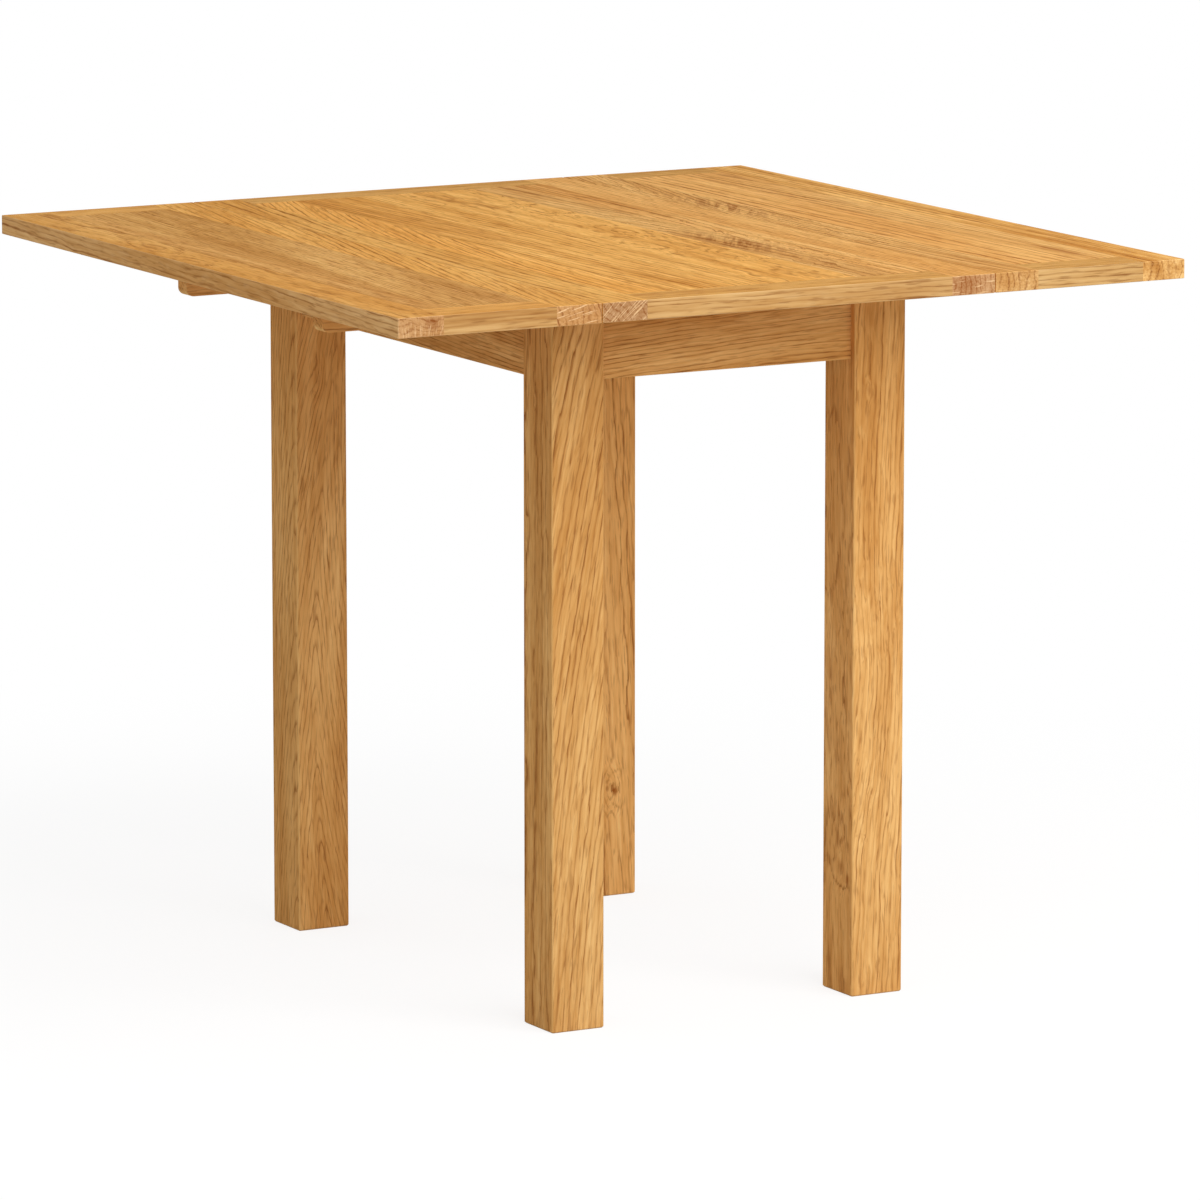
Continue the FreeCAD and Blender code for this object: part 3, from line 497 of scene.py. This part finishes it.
centrePanel = {
    "centre_stile_left": {
        "tones": "amber", "tone": 0.92, "pith": (0.1, -0.1), "lean": (-0.08, 0.0), "bow": (-0.12, 0.0),
        "ringWidth": 0.0064, "bandDepth": 0.15, "lineDepth": 0.95, "endDepth": 0.75,
    },
    "centre_board_1": {
        "tones": "amber", "tone": 1.05, "pith": (-0.14, -0.05), "lean": (-0.18, 0.0), "bow": (-0.2, 0.0),
        "ringWidth": 0.0072, "bandDepth": 0.12, "lineDepth": 1.0,
    },
    "centre_board_2": {
        "tones": "amber", "tone": 0.99, "pith": (0.2, -0.11), "lean": (0.02, 0.02), "ringWidth": 0.007,
        "bandDepth": 0.35,
    },
    "centre_board_3": {
        "tones": "amber", "tone": 0.98, "pith": (0.3, -0.1), "ringWidth": 0.007, "bandDepth": 0.25,
        "lineDepth": 0.5,
    },
    "centre_board_4": {
        "tones": "amber", "pith": (0.0, -0.12), "lean": (0.0, 0.02), "ringWidth": 0.0065, "curl": 0.014,
        "lineDepth": 0.65,
        "knots": [{"at": (x, y, topFace), "reach": (0.035, 0.014, 0.05), "bulge": 0.014}
                  for x, y in ((0.054, 0.02), (0.072, 0.21), (0.03, -0.1), (0.064, -0.19))],
    },
    "centre_board_5": {
        "tones": "tan", "tone": 0.93, "pith": (-0.12, -0.08), "lean": (0.05, 0.0), "ringWidth": 0.0085,
        "curl": 0.006, "lineDepth": 0.95,
        "knots": [
            {**feather, "at": (0.115, -0.12, topFace), "reach": (0.15, 0.045, 0.06), "bulge": 0.02,
             "heart": 0.9},
            {"at": (0.097, -0.12, topFace), "reach": (0.14, 0.007, 0.06), "heart": 0.8},
            {**stain, "at": (0.115, -0.37, topFace), "heart": 0.15},
        ],
    },
    "centre_board_6": {
        "tones": "tan", "ringWidth": 0.008, "bandDepth": 0.25, "lineDepth": 0.9,
        "knots": [
            {**feather, "at": (0.12, -0.14, topFace), "reach": (0.12, 0.04, 0.06), "bulge": 0.02,
             "heart": 0.8},
        ],
    },
    "centre_stile_right": {
        "tones": "tan", "tone": 1.04, "pith": (0.2, -0.01), "lean": (-0.02, 0.0), "ringWidth": 0.006,
        "curl": 0.002, "bandDepth": 0.08, "lineDepth": 0.6, "endDepth": 0.6, "endRays": 0.6,
        "endTint": (1.03, 1.14, 1.65),
        "knots": [{"at": (0.19, -0.45, 0.75), "reach": (0.006, 0.024, 0.03), "heart": 0.8, "solid": 0.6}],
    },
    "centre_rail_front": centreRail,
    "centre_rail_back": centreRail,
}
rightLeaf = {
    "right_leaf_stile_inner": {
        "tones": "tan", "tone": 0.96, "pith": (0.2, 0.0), "lean": (-0.06, 0.0), "bow": (-0.18, 0.0),
        "ringWidth": 0.0075, "curl": 0.002, "lineDepth": 0.95, "endDepth": 0.15, "endRays": 0.2,
        "endTint": (0.96, 1.0, 1.15),
        "knots": [
            {**feather, "at": (0.254, 0.14, topFace), "reach": (0.16, 0.034, 0.06), "bulge": 0.015,
             "heart": 0.9},
            {"at": (0.268, 0.135, topFace), "reach": (0.11, 0.006, 0.06), "heart": 0.8},
            {"at": (0.266, 0.386, topFace), "reach": (0.08, 0.006, 0.04), "bulge": 0.004, "heart": 0.6,
             "solid": 0.4},
            {"at": (0.238, 0.345, topFace), "reach": (0.09, 0.005, 0.04), "bulge": 0.003, "heart": 0.5,
             "solid": 0.4},
            {**stain, "at": (0.25, -0.36, topFace), "heart": 0.12},
        ],
    },
    "right_leaf_board_inner": {
        "tones": "tan", "tone": 1.06, "pith": (0.16, -0.1), "ringWidth": 0.0095, "bandDepth": 0.1,
        "lineDepth": 0.95, "poreDepth": 0.6,
    },
    "right_leaf_board_outer": {
        "tones": "tan", "lean": (0.03, 0.0), "ringWidth": 0.0095, "bandDepth": 0.1, "lineDepth": 0.95,
        "poreDepth": 0.6,
        "knots": [
            {"at": (x, y, topFace), "reach": (length, 0.01, 0.04), "bulge": 0.002, "heart": heart,
             "solid": 0.6}
            for x, y, length, heart in (
                (0.39, 0.364, 0.05, 0.8), (0.38, 0.12, 0.05, 0.5), (0.374, -0.336, 0.07, 1.0))
        ],
    },
    "right_leaf_stile_outer": {
        "tones": "honey", "pith": (0.2, 0.0), "ringWidth": 0.008, "bandDepth": 0.4, "lineDepth": 0.85,
        "endDepth": 0.15, "endRays": 0.12, "endTint": (0.98, 1.03, 1.2), "edgeTint": outerEdge,
    },
    "right_leaf_rail_front": rightRail,
    "right_leaf_rail_back": rightRail,
}

# Legs run along Z: across is Y and deep is -X. Aprons run along their own length.
legOak = {"axis": "z", "uneven": 0.7}
legs = {
    "leg_front_left": {
        **legOak, "tone": 0.96, "pith": (0.06, 0.15), "lean": (0.0, -0.16), "bow": (0.0, -0.12),
        "ringWidth": 0.0062, "curl": 0.011, "lineDepth": 0.95, "poreDepth": 0.75,
        "knots": [
            {"at": (-0.205, -0.275, 0.64), "reach": (0.006, 0.002, 0.02), "bulge": 0.003, "heart": 0.8},
        ],
    },
    "leg_front_right": {
        **legOak, "tone": 1.04, "pith": (0.025, -0.15), "lean": (0.03, -0.04), "ringWidth": 0.0056,
        "wave": 0.05, "curl": 0.009, "lineDepth": 0.8,
        "knots": [
            {"at": (0.162, -0.31, 0.628), "reach": (0.008, 0.02, 0.0038), "bulge": 0.003, "heart": 0.5,
             "solid": 0.3},
            {"at": (0.165, -0.31, 0.31), "reach": (0.085, 0.05, 0.025), "bulge": 0.015},
            {"at": (0.145, -0.287, 0.131), "reach": (0.016, 0.011, 0.02), "bulge": 0.008, "heart": 0.3,
             "solid": 0.6},
            {"at": (0.145, -0.3, 0.121), "reach": (0.01, 0.0045, 0.01), "heart": 1.0, "solid": 1.0},
        ],
    },
    "leg_back_left": {
        **legOak, "pith": (-0.028, 0.006), "lean": (0.0, -0.046), "bow": (0.0, -0.2), "taper": 0.14,
        "ringWidth": 0.0046, "curl": 0.007, "lineDepth": 0.7,
        "knots": [{"at": (-0.179, 0.25, 0.595), "reach": (0.016, 0.02, 0.005), "bulge": 0.006, "heart": 0.6}],
    },
    "leg_back_right": {
        **legOak, "tone": 1.18, "pith": (0.14, 0.08), "lean": (0.0, 0.045), "curl": 0.009,
        "knots": [
            {"at": (0.176, 0.25, 0.118), "reach": (0.016, 0.02, 0.009), "bulge": 0.01, "heart": 0.2},
            {"at": (0.179, 0.25, 0.115), "reach": (0.007, 0.01, 0.004), "heart": 1.0, "solid": 1.0},
            {"at": (0.170, 0.25, 0.119), "reach": (0.005, 0.01, 0.003), "heart": 0.8, "solid": 1.0},
        ],
    },
}
apronOak = {
    "tone": 0.97, "pith": (0.12, -0.12), "ringWidth": 0.0036, "wave": 0.045, "uneven": 0.7, "lineDepth": 0.8,
}
aprons = {
    "apron_front": {**apronOak, "axis": "x", "lean": (0.0, 0.03)},
    "apron_back": {**apronOak, "axis": "x", "pith": (-0.12, 0.12)},
    "apron_left": {**apronOak, "axis": "y", "pith": (0.1, 0.1), "lean": (0.03, 0.03)},
    "apron_right": {**apronOak, "axis": "y", "pith": (-0.1, 0.12)},
}
barOak = {
    "axis": "x", "pith": (0.08, -0.1), "lean": (0.02, 0.0), "lineDepth": 0.4,
    "endDepth": 0.0, "endRays": 0.1, "endTint": (1.0, 1.0, 1.0),
}
supportBars = {f"{side}_support_bar_{end}": barOak for side in ("left", "right") for end in ("front", "back")}
oakPieces = {**leftLeaf, **centrePanel, **rightLeaf, **legs, **aprons, **supportBars}
seedStep = 7.31  # far enough apart that no two pieces share a figure
for count, (name, look) in enumerate(oakPieces.items()):
    dress(name, oakMaterial(name, {**plainOak, **look}, count * seedStep))
print("oak finish on", len(oakPieces), "pieces")

# Zinc-plated steel: a soft cloud in its plating and fine brush marks
zincSteel = {
    "bright": (0.66, 0.65, 0.60), "shaded": (0.47, 0.46, 0.43),
    "cloudStretch": (60, 60, 60), "cloudSeed": 0.0, "cloudDetail": 3.0, "patchEnds": (0.3, 0.7),
    "brushStretch": (900, 40, 900), "brushSeed": 3.0,
    "patchRoughness": (-0.1, 0.3), "brushRoughness": 0.25,  # bright patches are smoother, brush marks rougher
    "bumpStrength": 0.08, "bumpDepth": 0.0002,
}


def buildZinc():
    look = zincSteel
    tree, source, target = newGroup(
        "zincPlating",
        {"Vector": "place cloudStretch brushStretch", "Color": "bright shaded"},
        {"Color": "colour", "Float": "roughness height"},
    )
    place = source["place"]
    patches = cloud(tree, place, source["cloudStretch"], look["cloudSeed"], look["cloudDetail"])
    patches = eased(tree, patches, look["patchEnds"])
    marks = cloud(tree, place, source["brushStretch"], look["brushSeed"])
    smooth = calc(tree, "MULTIPLY_ADD", patches, *look["patchRoughness"])
    putOut(
        tree, target, colour=mixed(tree, patches, source["shaded"], source["bright"]),
        roughness=calc(tree, "MULTIPLY_ADD", marks, look["brushRoughness"], smooth), height=marks,
    )
    return tree


def steelMaterial(name, look, plating):
    material, tree = newMaterial(name)
    shown = placeGroup(
        tree, plating, place=tree.nodes.new("ShaderNodeTexCoord").outputs["Object"],
        cloudStretch=look["cloudStretch"], brushStretch=look["brushStretch"],
        bright=(*look["bright"], 1), shaded=(*look["shaded"], 1),
    )
    finishSurface(tree, shown, look).inputs["Metallic"].default_value = 1.0
    return material


platedSteel = steelMaterial("zinc_plated_steel", zincSteel, buildZinc())
steelPieces = [name for name in parts if name not in oakPieces]
for name in steelPieces:
    dress(name, platedSteel)
print("steel finish on", len(steelPieces), "pieces")

# Pale floor: white to the eye, with only a soft shadow of the table on it
floor = {
    "radius": 30.0, "corners": 96,
    "glow": 0.84, "shade": 0.2,  # what the eye sees: its own light, and the part that takes the shadow
    "bounce": 0.7,  # how much light it sends back to the table
    "shadowEnds": (0.8, 1.7),  # metres from the middle over which the shadow gives way to white
}


# A flat disc of one face. Its corners stand at equal turns on a circle: x is the radius times the cosine
# of the turn, and y is the radius times its sine.
def buildFloor():
    turns = np.linspace(0, 2 * math.pi, floor["corners"], endpoint=False)
    points = floor["radius"] * np.stack([np.cos(turns), np.sin(turns), np.zeros_like(turns)], axis=1)
    mesh = bpy.data.meshes.new("floor")
    mesh.from_pydata(points.tolist(), [], [list(range(floor["corners"]))])
    obj = bpy.data.objects.new("floor", mesh)
    bpy.context.scene.collection.objects.link(obj)
    material, tree = newMaterial("pale_floor")
    tree.nodes.clear()
    glow = tree.nodes.new("ShaderNodeEmission")
    glow.inputs["Strength"].default_value = floor["glow"]
    soft = tree.nodes.new("ShaderNodeBsdfDiffuse")
    soft.inputs["Color"].default_value = grey(floor["shade"])
    near = tree.nodes.new("ShaderNodeAddShader")
    feed(tree, near.inputs[0], glow.outputs[0])
    feed(tree, near.inputs[1], soft.outputs[0])
    white = tree.nodes.new("ShaderNodeEmission")
    distance = vectorCalc(tree, "LENGTH", tree.nodes.new("ShaderNodeTexCoord").outputs["Object"])
    ground = mixedShader(tree, eased(tree, distance, floor["shadowEnds"]), near.outputs[0], white.outputs[0])
    bounce = tree.nodes.new("ShaderNodeBsdfDiffuse")
    bounce.inputs["Color"].default_value = grey(floor["bounce"])
    above = mixedShader(tree, seenDirectly(tree), bounce.outputs[0], ground)
    # clear from below, so that the underside can be seen
    below = tree.nodes.new("ShaderNodeNewGeometry").outputs["Backfacing"]
    clear = tree.nodes.new("ShaderNodeBsdfTransparent").outputs[0]
    output = tree.nodes.new("ShaderNodeOutputMaterial")
    feed(tree, output.inputs["Surface"], mixedShader(tree, below, above, clear))
    mesh.materials.append(material)


def placeAimed(name, data, at, aim):  # a lamp or camera at one point that looks at another
    obj = bpy.data.objects.new(name, data)
    bpy.context.scene.collection.objects.link(obj)
    obj.location = at
    obj.rotation_euler = (Vector(aim) - Vector(at)).to_track_quat("-Z", "Y").to_euler()
    return obj


# Studio light: one wide soft box high in front, and even light from all round
studio = {
    "ambient": 0.56,
    "softBox": {"size": 3.0, "at": (0.5, -2.7, 2.7), "aim": (0, 0, 0.45), "watts": 78},
}


def buildLight():
    world = bpy.data.worlds.new("studio")
    world.use_nodes = True
    tree = world.node_tree
    ambient = studio["ambient"]
    background = tree.nodes["Background"]
    background.inputs["Color"].default_value = grey(1)
    strength = calc(tree, "MULTIPLY_ADD", seenDirectly(tree), 1.0 - ambient, ambient)  # 1 is white
    feed(tree, background.inputs["Strength"], strength)
    bpy.context.scene.world = world
    box = studio["softBox"]
    lamp = bpy.data.lights.new("soft_box", "AREA")
    lamp.shape = "SQUARE"
    lamp.size = box["size"]
    lamp.energy = box["watts"]
    placeAimed("soft_box", lamp, box["at"], box["aim"])


buildFloor()
buildLight()
bpy.context.scene.view_settings.view_transform = "Standard"
print("floor and light made")

# Camera: a long lens from the front left, a little above the table
view = {
    "lensMm": 251.8, "sensorMm": 36.0, "clipEnd": 100.0,
    "at": (-4.162, -7.540, 1.880), "aim": (0.0168, -0.0093, 0.3785),
}


def buildCamera():
    camera = bpy.data.cameras.new("camera")
    camera.lens = view["lensMm"]
    camera.sensor_width = view["sensorMm"]
    camera.clip_end = view["clipEnd"]
    bpy.context.scene.camera = placeAimed("camera", camera, view["at"], view["aim"])


buildCamera()
print("camera made")
